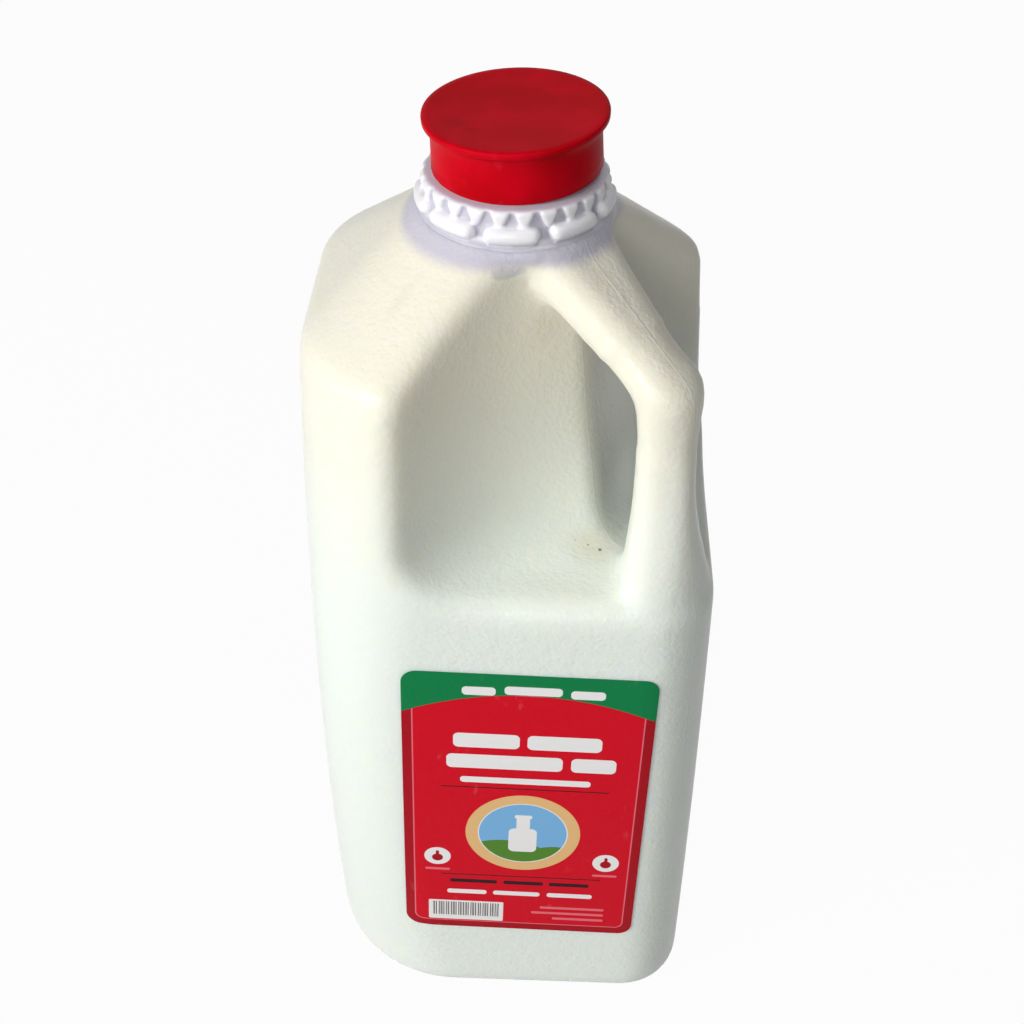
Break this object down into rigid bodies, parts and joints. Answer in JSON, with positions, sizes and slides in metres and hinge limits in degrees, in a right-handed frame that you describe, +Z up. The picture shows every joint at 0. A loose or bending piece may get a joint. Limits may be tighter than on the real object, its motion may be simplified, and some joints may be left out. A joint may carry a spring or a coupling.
{
  "type": "plastic milk jug",
  "caption": "Square translucent plastic jug full of milk, with a hollow corner handle, a red push-on cap with a flared flange and a red and green paper label on the front.",
  "frame": {"origin": "middle of the base, on the surface the jug stands on", "axes": "+Z up the jug, -Y out of the label, +X to the right when facing the label; the handle is at the corner between -Y and +X"},
  "size_m": [0.1026, 0.1029, 0.2569],
  "materials": {
    "jug_plastic": "translucent milky polyethylene, finely pebbled",
    "milk": null,
    "cap_plastic": "red polyethylene, satin, lightly scuffed",
    "label_paper": "coated label, red with a green band and pale shapes"
  },
  "bodies": {
    "root": {"jug": "jug_plastic", "milk": "milk", "cap": "cap_plastic", "label": "label_paper"}
  },
  "joints": []
}
